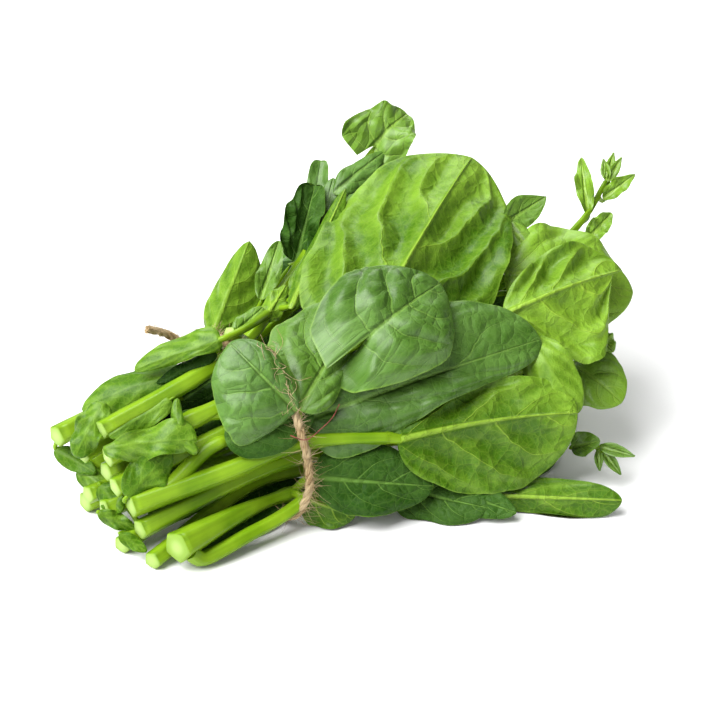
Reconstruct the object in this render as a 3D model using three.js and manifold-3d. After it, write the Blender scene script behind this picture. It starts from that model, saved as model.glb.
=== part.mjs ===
// A bunch of vine spinach lying on its side: leafy shoots with cut stems, tied round with jute twine.
// Millimetres, +Z up. +X runs from the cut ends to the leaf tips, and the bunch rests on z = 0.
// The tables give places from the middle of the tie; the finished bunch is then centred over its origin.
import * as THREE from 'three';
import { mergeVertices } from 'three/addons/utils/BufferGeometryUtils.js';
import Module from 'manifold-3d';

const wasm = await Module();
wasm.setup();

// Driving dimensions
const middle = [67, -5];
const bladeThickness = 0.9;
const endHalfWidth = 1.5;
const ribHeight = 1.3;
const petioleRadius = 2;
const stemSides = 7;
const twineRadius = 2;
const gap = 0.45;
const outlineSkew = 0.8;
const outlineFullness = 0.56;
const marginStops = [0.2, 0.5, 0.8];
const usualWaves = 1.5;
const lobeRise = 0.02;
const lobeEnd = 0.5;
const lobeNeck = 0.1;
const wholeLobe = 12.5;
const rollStart = 0.4;
const ribTaper = 0.7;
const petioleStart = 0.97;
const petioleEntry = 0.06;
const petioleReach = 0.4;
const greens = [0x4f8a2c, 0x5f9a34];
const tan = 0xb88f5c;

// One leaf: where on the stem it springs from (0 cut end, 1 tip), the ends of its midrib, its width,
// the way its shown face looks, and how it curls. Angles are degrees.
// Left and right are shares of the width on the two sides of the midrib.
// Lobes reach back past the stalk, and roll turns the left margin down.
const leaf = (at, base, tip, width, face, shape = {}) => ({ at, base, tip, width, face, ...shape });

// Each shoot is a stem through the tie with its leaves. Earlier shoots keep their leaves whole.
const shoots = [
  {
    name: 'shoot_01',
    path: [[-59, -13, 21], [-20, -26, 30], [4, -33, 36], [38, -50, 35]],
    radius: [4.8, 2.6],
    leaves: [
      leaf(1, [38, -51, 34], [106, -79, 36], 50, [-0.45, -0.72, 0.53], {
        sway: -2, fold: -8, cup: -14, wave: 2, waves: 2, rib: 2.4, under: true,
        full: 0.4, left: [0.67, 0.73, 0.82], right: [1.03, 1.21, 1.28], stalk: 2.5,
      }),
      leaf(0.12, [-22, -23, 42], [12, -33, 46], 22, [-0.4, -0.75, 0.53], { bow: 2, cup: -16, stalk: 3 }),
    ],
  },
  {
    name: 'shoot_02',
    path: [[-60, 1, 36], [0, -14, 53], [26, -18, 61], [54, -15, 69]],
    radius: [4.2, 2.4],
    leaves: [
      leaf(0.7, [36, -34, 72], [75, -30, 82], 54, [-0.38, -0.62, 0.68], {
        bow: 5, cup: -26, wave: 2,
        lobe: [19, 20], full: 0.48, left: [0.83, 0.9, 0.87], right: [0.83, 0.98, 1],
      }),
      leaf(0.62, [4, -35, 52], [39, -10, 81], 36, [-0.4, -0.62, 0.67], {
        bow: 4, cup: -18, wave: 2, full: 0.5, right: [0.6, 0.85, 1],
      }),
      leaf(0.3, [3, -35, 52], [-10, -9, 74], 40, [-0.48, -0.7, 0.53], {
        bow: 4, cup: -14, wave: 1.5, left: [1.49, 1.14, 1.25], right: [0.35, 0.5, 0.62],
      }),
      leaf(1, [57, -17, 73], [137, 29, 97], 74, [-0.42, -0.58, 0.7], {
        bow: 7, cup: -18, wave: 6, waves: 1.7, under: true,
        lobe: [24, 18], roll: 9, full: 0.48, left: [1.12, 1.08, 1.15],
      }),
    ],
  },
  {
    name: 'shoot_03',
    path: [[-61, -5, 26], [0, -18, 43], [50, -27, 50], [96, -37, 56]],
    radius: [4.2, 2],
    leaves: [
      leaf(0.5, [10, -30, 43], [106, -55, 58], 44, [-0.36, -0.68, 0.64], {
        bow: 5, cup: -20, wave: 2.5, waves: 2,
        full: 0.42, left: [1, 1.3, 1.45], right: [1, 0.6, 0.6],
      }),
      leaf(1, [102, -37, 62], [158, -44, 68], 54, [-0.35, -0.58, 0.74], {
        bow: 6, cup: -14, wave: 3, waves: 2,
        skew: 1.1, full: 0.5, left: [0.62, 0.66, 0.8], right: [0.72, 1.1, 0.7],
      }),
      leaf(0.9, [104, -50, 57], [108, -77, 34], 20, [-0.5, -0.6, 0.62], {
        bow: 4, cup: -24, wave: 2, rib: 0.2, under: true, full: 0.45,
      }),
    ],
  },
  {
    name: 'shoot_04',
    path: [[-58, 8, 44], [-16, 1, 58], [4, 5, 61], [46, 34, 64], [80, 54, 74]],
    radius: [3.8, 1.8],
    leaves: [
      leaf(0.55, [-10, -3, 70], [-40, 18, 56], 20, [-0.55, -0.5, 0.67], {
        bow: 2, cup: -50, wave: 2.5, rib: 0.4, under: true, skew: 0.55, full: 0.4,
      }),
      leaf(0.06, [-62, 0, 42], [-32, -19, 44], 12, [-0.35, -0.45, 0.82], {
        bow: 2, cup: -30, wave: 4.5, waves: 2.4, rib: 0.2, full: 0.35,
      }),
      leaf(0.6, [31, 10, 67], [84, 46, 91], 12, [-0.45, -0.5, 0.74], {
        cup: -60, wave: 1.5, rib: 0.5, under: true,
      }),
      leaf(1, [109, 60, 98], [127, 61, 108], 28, [-0.4, -0.6, 0.7], {
        bow: 4, cup: 24, wave: 3, waves: 2,
        lobe: [8, 10], full: 0.5, left: [1.25, 0.9, 0.87], right: [1, 0.9, 0.8],
      }),
      leaf(0.9, [73, 48, 76], [87, 59, 90], 11, [-0.5, -0.5, 0.7], { cup: -40, wave: 2 }),
      leaf(0.97, [83, 53, 86], [111, 55, 97], 13, [-0.45, -0.55, 0.7], {
        bow: 2, cup: -40, wave: 2, full: 0.7,
      }),
    ],
  },
  {
    name: 'shoot_05',
    path: [[-66, 30, 33], [0, 29, 45], [32, 36, 54], [60, 50, 62]],
    radius: [4.6, 2],
    leaves: [
      leaf(1, [58, 45, 65], [79, 61, 88], 24, [-0.5, -0.5, 0.7], {
        cup: 85, wave: 3.5, waves: 2.5, full: 0.3,
      }),
      leaf(0.5, [6, 28, 57], [39, 51, 78], 24, [-0.55, -0.55, 0.63], {
        fold: -20, cup: -40, wave: 2, rib: 0.2, under: true, right: [1.1, 1.3, 1.35],
      }),
      leaf(0.7, [29, 28, 64], [49, 44, 78], 10, [-0.5, -0.6, 0.62], { cup: 30, wave: 2 }),
      leaf(0.35, [-20, 8, 56], [-54, 30, 41], 23, [-0.4, -0.45, 0.8], {
        bow: 3, cup: -50, wave: 4, waves: 2.2, rib: 0.2, under: true, full: 0.35,
      }),
      leaf(0.8, [40, 52, 50], [92, 86, 42], 48, [-0.1, 0.8, 0.6], {
        bow: 5, cup: -20, wave: 3, waves: 2,
      }),
      leaf(1, [77, 59, 76], [89, 71, 93], 11, [-0.5, -0.5, 0.7], {
        cup: 50, wave: 1.5, rib: 0.2, full: 0.22,
      }),
    ],
  },
  {
    name: 'shoot_06',
    path: [
      [-59, 5, 27], [0, -2, 36], [60, -4, 46], [115, -8, 54], [156, -6, 64], [176, -2, 72], [191, 4, 81],
    ],
    radius: [4, 0.9],
    leaves: [
      leaf(0.08, [-42, 1, 33], [-10, -7, 42], 18, [-0.4, -0.8, 0.45], {
        bow: 2, cup: -30, wave: 3, waves: 2.5,
      }),
      leaf(0.66, [118, -17, 68], [166, -43, 55], 52, [-0.3, -0.5, 0.81], {
        bow: 4, cup: -14, wave: 3, waves: 2,
      }),
      leaf(0.62, [128, -3, 81], [153, -1, 86], 14, [-0.4, -0.6, 0.7], { cup: 30, full: 0.85 }),
      leaf(0.64, [130, -4, 82], [132, -18, 73], 11, [-0.4, -0.6, 0.7], { cup: -30, full: 0.8 }),
      leaf(0.9, [176, -2, 72], [186, 15, 89], 9, [-0.6, -0.5, 0.6], { bow: 2, cup: 55, full: 0.8 }),
      leaf(0.96, [186, 0, 75], [199, -5, 85], 9, [-0.5, -0.5, 0.7], { cup: 55, full: 0.9 }),
      leaf(1, [191, 4, 81], [199, 9, 90], 5, [-0.5, -0.6, 0.6], { cup: 45, full: 0.9 }),
      leaf(0.84, [168, -11, 65], [183, -9, 73], 9, [-0.4, -0.6, 0.7], {
        cup: 40, wave: 1.5, full: 0.75,
      }),
    ],
  },
  {
    name: 'shoot_07',
    path: [[-62, 2.5, 12.5], [0, -11, 23], [55, -22, 31], [96, -42, 38]],
    radius: [4.2, 2],
    leaves: [
      leaf(0.05, [-57, -7, 21], [-33, -8, 34], 17, [-0.4, -0.8, 0.45], {
        bow: 1, cup: -20, wave: 2.5, waves: 2,
      }),
      leaf(1, [128, -49, 37], [134, -74, 28], 27, [-0.3, -0.62, 0.72], { bow: 3, cup: -10, wave: 2 }),
      leaf(0.8, [84, -40, 33], [132, -44, 30], 40, [-0.2, -0.6, 0.77], { cup: -20, wave: 3, waves: 2 }),
    ],
  },
  {
    name: 'shoot_08',
    path: [[-58, -17, 12], [0, -25, 24], [50, -38, 24], [88, -50, 20], [112, -70, 17], [118, -80, 16]],
    radius: [4.2, 0.9],
    leaves: [
      leaf(0.55, [60, -61, 6], [108, -105, 8], 32, [-0.42, -0.66, 0.62], {
        fold: -20, cup: -16, wave: 1.5, rib: 0.8, under: true, left: [0.6, 0.62, 0.75],
      }),
      leaf(0.95, [110, -72, 15], [117, -81, 20], 11, [-0.4, -0.6, 0.7], { cup: 40, wave: 1.5 }),
      leaf(1, [118, -79, 16], [126, -92, 15], 6, [-0.4, -0.6, 0.7], { cup: 40, full: 0.9 }),
      leaf(0.99, [119, -81, 14], [120, -91, 8], 5, [-0.5, -0.6, 0.6], { cup: 40, full: 0.8 }),
    ],
  },
  {
    name: 'shoot_09',
    path: [[-52, -34, 11], [-20, -30, 12], [0, -26, 13], [38, -40, 14]],
    radius: [6.5, 2.4],
    branch: { path: [[-50, -36, 3.8], [-28, -41, 5], [-2, -37, 13]], radius: [5, 2.2] },
    leaves: [
      leaf(0.6, [7, -38, 22], [49, -61, 14], 32, [-0.4, -0.75, 0.53], {
        bow: 3, cup: -16, wave: 2, waves: 2, right: [0.85, 0.85, 0.9],
      }),
      leaf(0.6, [4, -36, 13], [20, -49, 5], 20, [-0.4, -0.8, 0.45], { cup: -20, wave: 2, under: true }),
    ],
  },
  {
    name: 'shoot_10',
    path: [[-59, -27, 3.6], [0, -13, 10], [36, -26, 11], [60, -38, 10]],
    radius: [3.8, 2],
    leaves: [
      leaf(0.8, [40, -46, 9], [64, -76, 6], 26, [-0.3, -0.6, 0.74], { cup: -20, wave: 2 }),
      leaf(1, [62, -38, 11], [118, -56, 5], 44, [-0.1, -0.3, 0.95], { cup: -20, wave: 3, waves: 2 }),
      leaf(0.9, [56, -61, 10], [72, -84, 5], 14, [-0.4, -0.66, 0.62], { cup: -20, wave: 1.5 }),
    ],
  },
  {
    name: 'shoot_11',
    path: [[-64, 13, 32], [0, 16, 46], [46, 28, 56], [86, 36, 64]],
    radius: [3.2, 1.8],
    leaves: [
      leaf(1, [86, 36, 66], [150, 44, 70], 50, [0.1, 0.2, 0.97], { cup: -24, wave: 2.5 }),
      leaf(0.8, [64, 40, 66], [112, 78, 72], 42, [-0.1, 0.4, 0.9], { cup: -24, wave: 2 }),
    ],
  },
  {
    name: 'shoot_12',
    path: [[-64, 11.5, 15], [0, 5, 21], [60, 10, 28], [104, 10, 36]],
    radius: [3.8, 1.8],
    leaves: [
      leaf(1, [105, 10, 38], [164, 8, 44], 46, [0.2, 0, 0.97], { cup: -20, wave: 2 }),
      leaf(0.7, [82, 22, 36], [140, 40, 40], 44, [0.1, 0.3, 0.94], { cup: -20, wave: 2 }),
    ],
  },
  {
    name: 'shoot_13',
    path: [[-63, -11, 3.4], [0, 0, 10], [60, 2, 11], [92, 2, 11]],
    radius: [3.8, 2],
    leaves: [
      leaf(1, [92, 2, 12], [150, -12, 8], 46, [0.1, -0.1, 0.99], { cup: -18, wave: 2 }),
      leaf(0.7, [78, -12, 12], [122, -30, 14], 34, [0, -0.2, 0.98], { cup: -20, wave: 2 }),
    ],
  },
  {
    name: 'shoot_14',
    path: [[-60, 22, 4.2], [0, 14, 10], [50, 24, 11], [84, 30, 10]],
    radius: [4.4, 2],
    leaves: [
      leaf(1, [84, 30, 11], [144, 40, 6], 48, [0, 0.1, 0.99], { cup: -20, wave: 2 }),
      leaf(0.6, [50, 36, 11], [92, 62, 5], 36, [0, 0.3, 0.95], { cup: -20, wave: 2 }),
    ],
  },
  {
    name: 'shoot_15',
    path: [[-58, 23, 19], [0, 22, 30], [50, 40, 36], [88, 52, 38]],
    radius: [4.2, 2],
    leaves: [
      leaf(1, [88, 52, 39], [146, 64, 36], 48, [0.1, 0.6, 0.8], { cup: -20, wave: 2 }),
      leaf(0.7, [58, 56, 38], [110, 88, 24], 46, [0, 0.8, 0.6], { cup: -20, wave: 2 }),
    ],
  },
  {
    name: 'shoot_16',
    path: [[-48, 31, 6], [0, 25.5, 17], [38, 44, 17], [70, 58, 14]],
    radius: [4.4, 2],
    leaves: [
      leaf(1, [70, 58, 15], [128, 78, 8], 44, [0, 0.5, 0.87], { cup: -20, wave: 2 }),
      leaf(0.7, [36, 56, 18], [84, 92, 8], 42, [0, 0.7, 0.7], { cup: -20, wave: 2 }),
    ],
  },
];

// The tie, seen along the stems: the twine's centre line from the front over the top and round the back.
const tieLine = [
  [3.5, -40.5, 34], [2.5, -38.5, 43], [3, -31.5, 51.5], [-2, -19, 60.5], [-4, -6, 66.5], [-3, 9, 66.5],
  [-1, 26, 57.5], [1, 37, 49], [2, 41, 40], [2, 39, 26], [1, 32, 12], [0, 20, 3],
  [-1, 4, 1.8], [-2, -14, 1.8], [-2, -29, 3], [0, -38, 8], [3, -42, 20],
];
const knotCentre = [1, 39, 45];
const knotRadii = [5, 4.5, 5.5];
const tails = [
  [[1, 39, 46], [-4, 41, 51], [-9, 42, 55], [-16, 42.5, 58.5]],
  [[1, 39, 45], [6, 43, 43], [9, 46, 37], [8, 47, 30]],
];

const { smoothstep } = THREE.MathUtils;
const vector = (p) => new THREE.Vector3(p[0], p[1], p[2]);

// A closed solid from any geometry whose faces meet edge to edge.
function solid(geometry) {
  const bare = new THREE.BufferGeometry();
  bare.setAttribute('position', geometry.attributes.position);
  bare.setIndex(geometry.index);
  const merged = mergeVertices(bare, 1e-4);
  return new wasm.Manifold(new wasm.Mesh({
    numProp: 3,
    vertProperties: Float32Array.from(merged.attributes.position.array),
    triVerts: Uint32Array.from(merged.index.array),
  }));
}

// A capped, tapering limb bent along a curve.
function limb(curve, radii, sides, steps, grow) {
  const geometry = new THREE.CylinderGeometry(1, 1, 1, sides, steps);
  const frames = curve.computeFrenetFrames(steps, false);
  const place = geometry.attributes.position;
  for (let i = 0; i < place.count; i += 1) {
    const step = Math.round((0.5 - place.getY(i)) * steps);
    const along = step / steps;
    const radius = radii[0] + (radii[1] - radii[0]) * along + grow;
    const point = curve.getPointAt(along);
    point.addScaledVector(frames.normals[step], place.getX(i) * radius);
    point.addScaledVector(frames.binormals[step], place.getZ(i) * radius);
    if (step === 0) point.addScaledVector(frames.tangents[step], -grow);
    if (step === steps) point.addScaledVector(frames.tangents[step], grow);
    place.setXYZ(i, point.x, point.y, point.z);
  }
  return solid(geometry);
}

// How far a half blade reaches across and lifts at a share of its width.
// It opens at the fold angle and curls on by the cup angle.
function curl(fold, cup, share) {
  if (Math.abs(cup) < 0.01) {
    return [Math.cos(fold) * share, Math.sin(fold) * share];
  }
  const angle = fold + cup * share;
  return [(Math.sin(angle) - Math.sin(fold)) / cup, (Math.cos(fold) - Math.cos(angle)) / cup];
}

// The midrib of a leaf: bowed towards its face and swayed to one side.
function midrib(spec) {
  const base = vector(spec.base);
  const tip = vector(spec.tip);
  const face = vector(spec.face).normalize();
  const side = tip.clone().sub(base).cross(face).normalize();
  const bend = base.clone().add(tip).multiplyScalar(0.5);
  bend.addScaledVector(face, 2 * (spec.bow ?? 0));
  bend.addScaledVector(side, 2 * (spec.sway ?? 0));
  return new THREE.QuadraticBezierCurve3(base, bend, tip);
}

// A share of the width at one point of the length, on a curve through the three given shares.
function margin(shares, along) {
  return shares.reduce((sum, share, i) => {
    const others = marginStops.filter((stop, k) => k !== i);
    return sum + others.reduce((part, stop) => (part * (along - stop)) / (marginStops[i] - stop), share);
  }, 0);
}

// A leaf blade: an egg-shaped outline on both sides of the midrib, curled and waved.
// Its rib stands up from the underside.
function blade(spec, grow) {
  const rib = midrib(spec);
  const face = vector(spec.face).normalize();
  const fold = THREE.MathUtils.degToRad(spec.fold ?? 0);
  const cup = THREE.MathUtils.degToRad(spec.cup ?? 0);
  const wave = spec.wave ?? 0;
  const skin = bladeThickness / 2 + grow;
  const bladeRows = spec.width > 45 ? 6 : spec.width > 16 ? 5 : 4;
  const bladeHalfCells = spec.width > 16 ? 2 : 1;
  const columns = 2 * bladeHalfCells + 1;
  const layer = (bladeRows + 1) * columns;
  const points = new Float32Array(layer * 6);
  for (let row = 0; row <= bladeRows; row += 1) {
    const along = 0.5 - 0.5 * Math.cos((Math.PI * row) / bladeRows);
    const tangent = rib.getTangent(along);
    const side = tangent.clone().cross(face).normalize();
    const normal = side.clone().cross(tangent).normalize();
    const arch = Math.sin(Math.PI * along ** (spec.skew ?? outlineSkew));
    const outline = (spec.width / 2) * arch ** (spec.full ?? outlineFullness);
    for (let column = 0; column < columns; column += 1) {
      const across = (column - bladeHalfCells) / bladeHalfCells;
      const share = Math.abs(across);
      const sign = Math.sign(across);
      const isLeft = sign < 0;
      const lobe = (spec.lobe ?? [0, 0])[isLeft ? 0 : 1];
      const neck = Math.min(1, lobe / wholeLobe) * (1 - smoothstep(along, 0, lobeNeck));
      const shares = (isLeft ? spec.left : spec.right) ?? [1, 1, 1];
      const half = Math.max(endHalfWidth, outline * margin(shares, along) * (1 - neck)) + grow;
      const lobed = smoothstep(along, 0, lobeRise) * (1 - smoothstep(along, 0, lobeEnd));
      const back = lobe * lobed * share ** 1.5;
      const roll = isLeft ? (spec.roll ?? 0) * smoothstep(share, rollStart, 1) * arch : 0;
      const [reach, lift] = curl(fold, cup, share);
      const swing = Math.sin(2 * Math.PI * (spec.waves ?? usualWaves) * along + sign);
      const ripple = wave * share ** 1.5 * arch * swing;
      const angle = sign === 0 ? 0 : fold + cup * share;
      const point = rib.getPoint(along);
      point.addScaledVector(tangent, -back);
      point.addScaledVector(side, sign * reach * half);
      point.addScaledVector(normal, lift * half + ripple - roll);
      if (row === 0) point.addScaledVector(tangent, -grow);
      if (row === bladeRows) point.addScaledVector(tangent, grow);
      const out = normal.clone().multiplyScalar(Math.cos(angle));
      out.addScaledVector(side, -sign * Math.sin(angle));
      const ridge = sign === 0 ? (spec.rib ?? ribHeight) * (1 - ribTaper * along) : 0;
      const above = point.clone().addScaledVector(out, skin + (spec.under ? ridge : 0));
      const below = point.clone().addScaledVector(out, -skin - (spec.under ? 0 : ridge));
      const corner = row * columns + column;
      above.toArray(points, corner * 3);
      below.toArray(points, (layer + corner) * 3);
    }
  }
  const index = [];
  for (let row = 0; row < bladeRows; row += 1) {
    for (let column = 0; column < columns - 1; column += 1) {
      const a = row * columns + column;
      const b = a + 1;
      const c = a + columns + 1;
      const d = a + columns;
      index.push(a, b, c, a, c, d);
      index.push(layer + a, layer + c, layer + b, layer + a, layer + d, layer + c);
    }
  }
  const rim = [];
  for (let column = 0; column < columns - 1; column += 1) rim.push(column);
  for (let row = 0; row < bladeRows; row += 1) rim.push(row * columns + columns - 1);
  for (let column = columns - 1; column > 0; column -= 1) rim.push(bladeRows * columns + column);
  for (let row = bladeRows; row > 0; row -= 1) rim.push(row * columns);
  rim.forEach((from, i) => {
    const to = rim[(i + 1) % rim.length];
    index.push(from, layer + from, layer + to, from, layer + to, to);
  });
  const geometry = new THREE.BufferGeometry();
  geometry.setAttribute('position', new THREE.BufferAttribute(points, 3));
  geometry.setIndex(index);
  return solid(geometry);
}

const stemCurve = (shoot) => new THREE.CatmullRomCurve3(shoot.path.map(vector), false, 'centripetal');

// The stem, with its side branch where it has one.
function stem(shoot, grow) {
  const main = limb(stemCurve(shoot), shoot.radius, stemSides, 2 * shoot.path.length - 1, grow);
  if (!shoot.branch) return main;
  return main.add(limb(stemCurve(shoot.branch), shoot.branch.radius, stemSides, 5, grow));
}

// The stalk from the stem to the leaf: it leaves along the stem and arrives along the midrib.
function petiole(shoot, spec, grow) {
  const curve = stemCurve(shoot);
  const from = curve.getPointAt(Math.min(spec.at, petioleStart));
  const rib = midrib(spec);
  const to = rib.getPoint(petioleEntry);
  const reach = from.distanceTo(to) * petioleReach;
  const leaving = from.clone().addScaledVector(curve.getTangentAt(Math.min(spec.at, petioleStart)), reach);
  const arriving = to.clone().addScaledVector(rib.getTangent(petioleEntry), -reach);
  const radius = spec.stalk ?? Math.min(petioleRadius, spec.width / 14 + 0.4);
  const line = new THREE.CubicBezierCurve3(from, leaving, arriving, to);
  return limb(line, [radius * 1.25, radius * 0.8], 4, 3, grow);
}

// The twine: a round cord closed on itself, a knot and two tails.
function twine(grow) {
  const line = new THREE.CatmullRomCurve3(tieLine.map(vector), true, 'centripetal');
  const geometry = new THREE.TorusGeometry(1, 0.1, 6, 36);
  const place = geometry.attributes.position;
  const along = new THREE.Vector3(1, 0, 0);
  for (let i = 0; i < place.count; i += 1) {
    const round = geometry.attributes.uv.getX(i) % 1;
    const turn = geometry.attributes.uv.getY(i) * 2 * Math.PI;
    const tangent = line.getTangentAt(round);
    const outward = along.clone().cross(tangent).normalize();
    const sideways = tangent.clone().cross(outward).normalize();
    const point = line.getPointAt(round);
    point.addScaledVector(outward, -Math.cos(turn) * (twineRadius + grow));
    point.addScaledVector(sideways, Math.sin(turn) * (twineRadius + grow));
    place.setXYZ(i, point.x, point.y, point.z);
  }
  let whole = solid(geometry);
  const knot = new THREE.IcosahedronGeometry(1, 1);
  knot.scale(knotRadii[0] + grow, knotRadii[1] + grow, knotRadii[2] + grow);
  knot.translate(...knotCentre);
  knot.setIndex([...Array(knot.attributes.position.count).keys()]);
  whole = whole.add(solid(knot));
  for (const tail of tails) {
    const curve = new THREE.CatmullRomCurve3(tail.map(vector));
    whole = whole.add(limb(curve, [twineRadius, twineRadius * 0.9], 6, 4, grow));
  }
  return whole;
}

// Cuts away what lies below the table and keeps the one piece that holds the stem.
const table = solid(new THREE.BoxGeometry(600, 600, 100).translate(0, 0, -50));
function finish(body) {
  const pieces = body.subtract(table).decompose();
  return pieces.reduce((best, piece) => (piece.volume() > best.volume() ? piece : best));
}

const bunch = new THREE.Group();
bunch.name = 'spinach_bunch';
function addNode(name, body, colour, roughness) {
  const mesh = body.getMesh();
  const geometry = new THREE.BufferGeometry();
  geometry.setAttribute('position', new THREE.BufferAttribute(Float32Array.from(mesh.vertProperties), 3));
  geometry.setIndex(Array.from(mesh.triVerts));
  const node = new THREE.Mesh(geometry, new THREE.MeshStandardMaterial({ color: colour, roughness }));
  node.name = name;
  bunch.add(node);
}

const taken = [{ owner: 'twine', body: twine(gap) }];
shoots.forEach((shoot) => taken.push({ owner: shoot.name, body: stem(shoot, gap) }));
function clear(body, owner) {
  const others = taken.filter((claim) => claim.owner !== owner);
  return others.reduce((left, claim) => left.subtract(claim.body), body);
}

shoots.forEach((shoot, i) => {
  let body = stem(shoot, 0);
  const claimed = [];
  for (const spec of shoot.leaves) {
    body = body.add(clear(petiole(shoot, spec, 0).add(blade(spec, 0)), shoot.name));
    claimed.push(petiole(shoot, spec, gap), blade(spec, gap));
  }
  claimed.forEach((part) => taken.push({ owner: shoot.name, body: part }));
  addNode(shoot.name, finish(body), greens[i % greens.length], 0.5);
});
addNode('twine', finish(twine(0)), tan, 0.9);

bunch.position.set(-middle[0], -middle[1], 0);

export default bunch;
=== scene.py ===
import math
import bpy
import numpy as np
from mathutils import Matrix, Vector


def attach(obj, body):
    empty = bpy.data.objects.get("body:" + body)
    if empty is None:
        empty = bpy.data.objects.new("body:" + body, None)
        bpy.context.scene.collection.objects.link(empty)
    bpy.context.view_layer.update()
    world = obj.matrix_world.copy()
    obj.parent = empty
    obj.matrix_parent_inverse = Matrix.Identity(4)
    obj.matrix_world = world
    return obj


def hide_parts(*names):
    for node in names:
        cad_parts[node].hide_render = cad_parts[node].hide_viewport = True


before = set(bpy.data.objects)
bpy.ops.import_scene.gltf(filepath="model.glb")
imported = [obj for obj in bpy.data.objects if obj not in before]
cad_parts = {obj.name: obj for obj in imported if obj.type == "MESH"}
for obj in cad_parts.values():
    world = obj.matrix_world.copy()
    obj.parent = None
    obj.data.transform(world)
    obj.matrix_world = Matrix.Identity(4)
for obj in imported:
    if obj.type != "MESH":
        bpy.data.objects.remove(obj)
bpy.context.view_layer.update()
print("frame loaded:", len(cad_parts), "nodes")

mm = 0.001
middle = (67, -5, 0)  # the bunch's own centre, in mm from the middle of the tie


def place(point):  # mm from the middle of the tie -> metres in the part's frame
    return (np.asarray(point, float) - middle) * mm


def mathSign(operation):  # a sign between two wires becomes a math node
    return lambda self, other: calc(operation, self, other)


class Wire:  # a node socket that takes plain arithmetic
    def __init__(self, tree, socket):
        self.tree = tree
        self.socket = socket
        self.isVector = socket.type == "VECTOR"

    __add__ = __radd__ = mathSign("ADD")
    __sub__ = mathSign("SUBTRACT")
    __truediv__ = mathSign("DIVIDE")
    __pow__ = mathSign("POWER")

    def __rsub__(self, other):
        return calc("SUBTRACT", other, self)

    def __mul__(self, other):
        if isinstance(other, Wire) and other.isVector and not self.isVector:
            return calc("SCALE", other, self)
        if self.isVector and not (isinstance(other, Wire) and other.isVector):
            return calc("SCALE", self, other)
        return calc("MULTIPLY", self, other)

    __rmul__ = __mul__

    def __abs__(self):
        return calc("ABSOLUTE", self)


def plug(value, socket):  # a wire is linked, anything else becomes the socket's value
    if isinstance(value, Wire):
        value.tree.links.new(value.socket, socket)
    else:
        socket.default_value = value


def calc(operation, *values):
    wires = [value for value in values if isinstance(value, Wire)]
    tree = wires[0].tree
    asVector = any(wire.isVector for wire in wires)
    node = tree.nodes.new("ShaderNodeVectorMath" if asVector else "ShaderNodeMath")
    node.operation = operation
    for slot, value in enumerate(values):
        plug(value, node.inputs[3 if operation == "SCALE" and slot == 1 else slot])
    return Wire(tree, node.outputs[1 if operation == "LENGTH" else 0])


def step(tree, kind, settings=None, **values):  # one node, inputs by name with _ for a space
    node = tree.nodes.new(kind)
    for key, value in (settings or {}).items():
        setattr(node, key, value)
    for key, value in values.items():
        plug(value, node.inputs[key.replace("_", " ")])
    return Wire(tree, node.outputs[0])


def smooth(value, low, high):  # 0 below low, 1 above high, eased between
    return step(value.tree, "ShaderNodeMapRange", {"interpolation_type": "SMOOTHSTEP"},
                Value=value, From_Min=low, From_Max=high)


def triple(x, y, z):
    tree = next(value.tree for value in (x, y, z) if isinstance(value, Wire))
    return step(tree, "ShaderNodeCombineXYZ", X=x, Y=y, Z=z)


def parts(vector):
    node = vector.tree.nodes.new("ShaderNodeSeparateXYZ")
    plug(vector, node.inputs[0])
    return [Wire(vector.tree, socket) for socket in node.outputs]


def noise(vector, scale, detail=2.0, seed=0.0):
    return step(vector.tree, "ShaderNodeTexNoise", {"noise_dimensions": "4D"},
                Vector=vector, W=seed, Scale=scale, Detail=detail)


def addSocket(tree, label, kind, value=None, way="INPUT"):
    socket = tree.interface.new_socket(label, in_out=way, socket_type="NodeSocket" + kind)
    if value is not None:
        socket.default_value = value


def geometryTree(name, inputs, takesGeometry=False):
    tree = bpy.data.node_groups.new(name, "GeometryNodeTree")
    if takesGeometry:
        addSocket(tree, "Geometry", "Geometry")
    for label, value in inputs.items():
        kind = "Vector" if isinstance(value, tuple) else "Int" if isinstance(value, int) else "Float"
        addSocket(tree, label, kind, value)
    addSocket(tree, "Geometry", "Geometry", way="OUTPUT")
    source = tree.nodes.new("NodeGroupInput")
    return tree, {socket.name: Wire(tree, socket) for socket in source.outputs if socket.name}


def store(geometry, name, value, domain="POINT"):
    kind = "FLOAT_VECTOR" if isinstance(value, Wire) and value.isVector else "FLOAT"
    return step(geometry.tree, "GeometryNodeStoreNamedAttribute", {"data_type": kind, "domain": domain},
                Geometry=geometry, Name=name, Value=value)


def recall(tree, name, kind="FLOAT"):
    return step(tree, "GeometryNodeInputNamedAttribute", {"data_type": kind}, Name=name)


def gather(*pieces):
    tree = pieces[0].tree
    node = tree.nodes.new("GeometryNodeJoinGeometry")
    for piece in pieces:
        plug(piece, node.inputs[0])
    return Wire(tree, node.outputs[0])


table = {"gap": 0.0006, "ease": 0.002}  # metres


def aboveTable(spot):  # what would sink into the table lies flat on it
    x, y, z = parts(spot)
    return triple(x, y, calc("SMOOTH_MAX", z, table["gap"], table["ease"]))


def close(geometry, material):  # every tree ends realised, above the table and with its material
    tree = geometry.tree
    geometry = step(tree, "GeometryNodeRealizeInstances", Geometry=geometry)
    spot = aboveTable(step(tree, "GeometryNodeInputPosition"))
    geometry = step(tree, "GeometryNodeSetPosition", Geometry=geometry, Position=spot)
    geometry = step(tree, "GeometryNodeSetMaterial", Geometry=geometry, Material=material)
    plug(geometry, tree.nodes.new("NodeGroupOutput").inputs[0])


def addObject(name, data):
    holder = bpy.data.objects.new(name, data)
    bpy.context.scene.collection.objects.link(holder)
    return holder


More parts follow.
